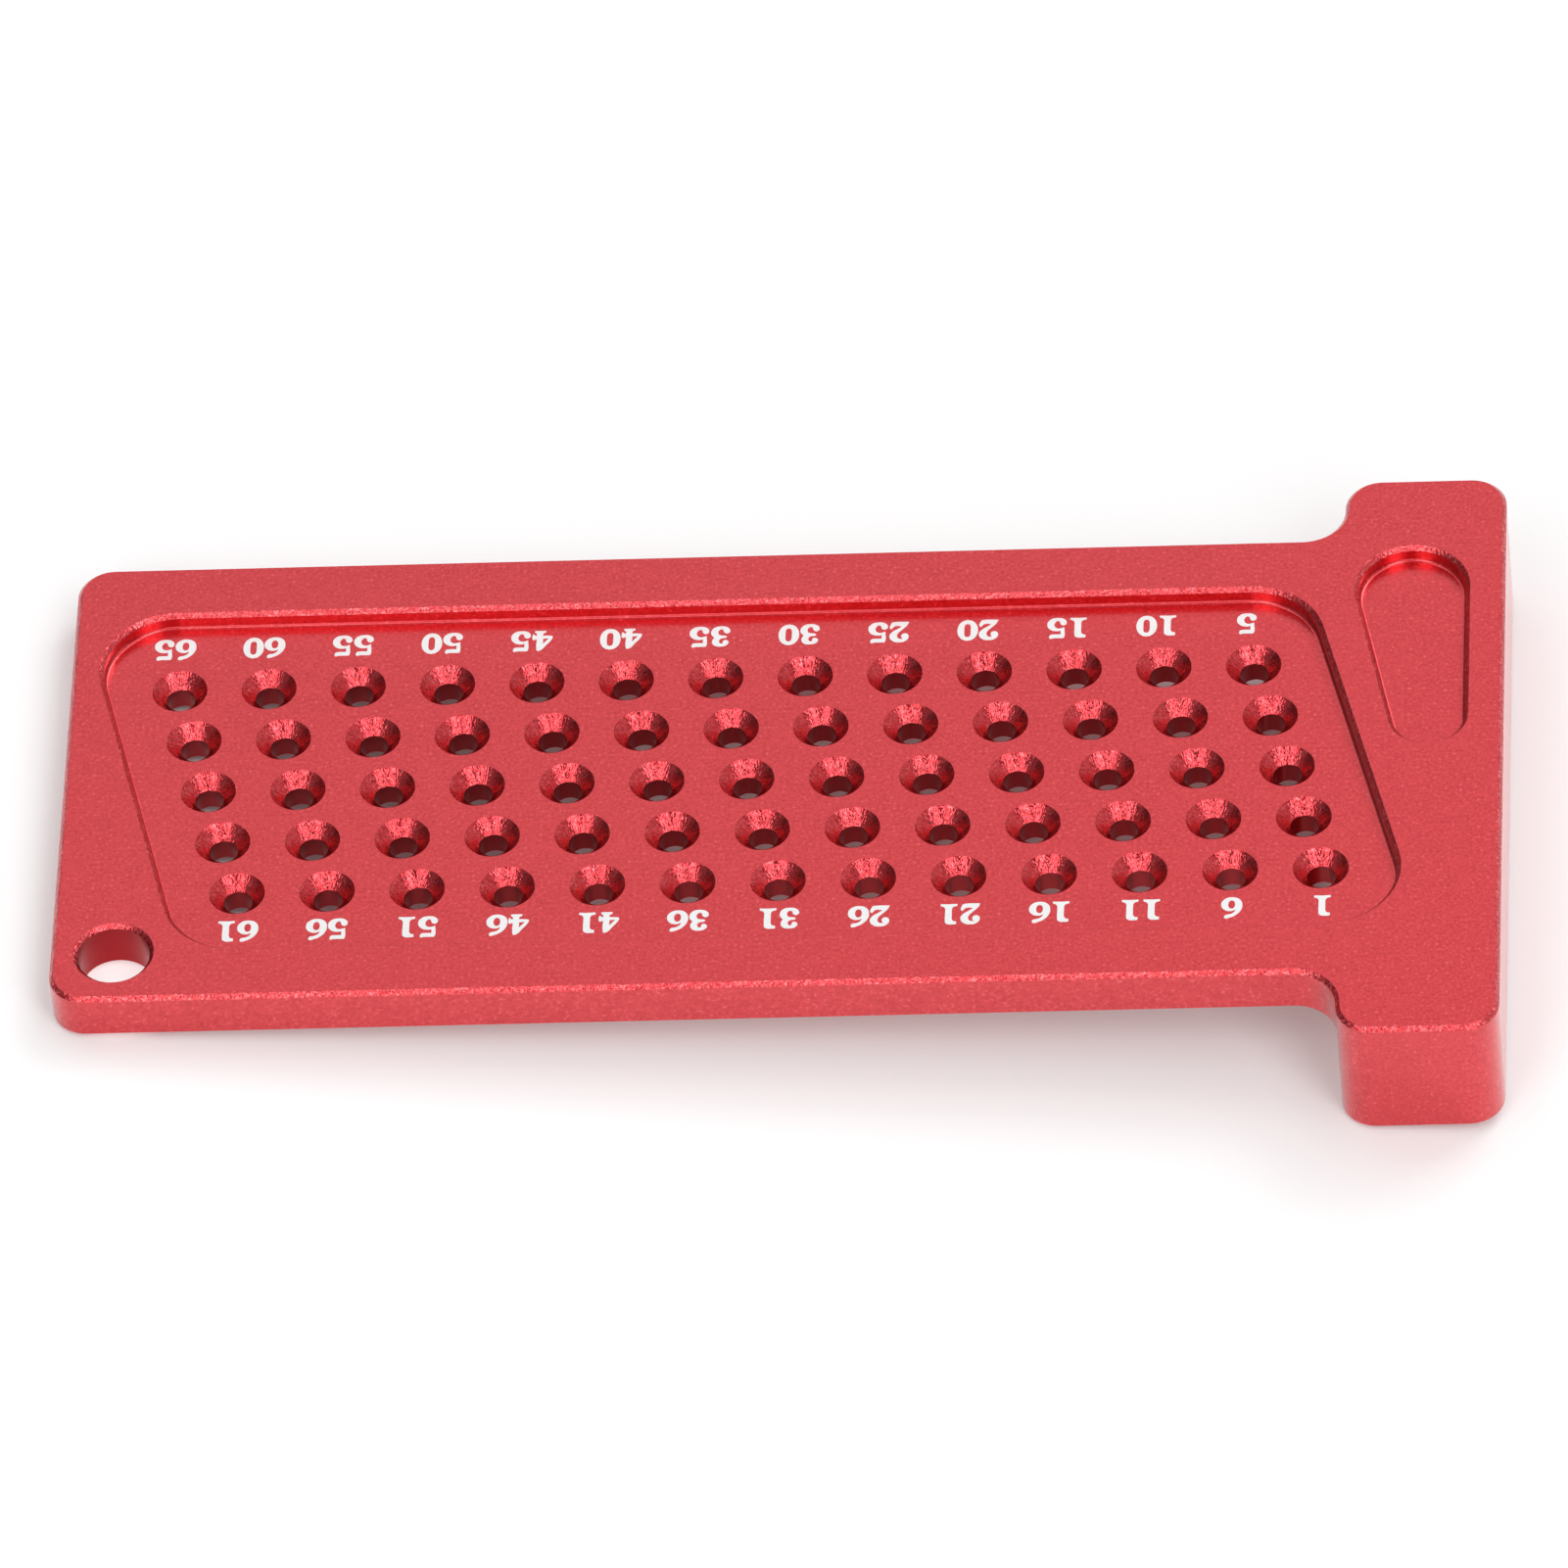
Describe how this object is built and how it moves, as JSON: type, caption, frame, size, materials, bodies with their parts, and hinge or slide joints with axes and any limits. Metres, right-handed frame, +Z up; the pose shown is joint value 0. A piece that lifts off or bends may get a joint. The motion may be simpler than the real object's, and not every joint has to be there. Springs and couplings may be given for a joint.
{
  "type": "hole marking gauge",
  "caption": "T-shaped marking gauge: a thin blade with a slanted grid of countersunk pencil holes, and a thicker fence that slides along a board's edge.",
  "frame": {"origin": "the corner line where the fence's working face meets the underside of the blade, at the middle of the blade's width", "axes": "+X along the blade, away from the fence, so that hole N is N mm along +X; +Y along the fence, towards the side with the hanging hole; +Z up, towards the face with the countersinks"},
  "size_m": [0.08, 0.042, 0.008],
  "materials": {
    "red_anodised": "bead blasted and anodised red, satin",
    "white_marking": "matt white marking of the numerals"
  },
  "bodies": {
    "root": {"gauge_body": "red_anodised"}
  },
  "joints": []
}
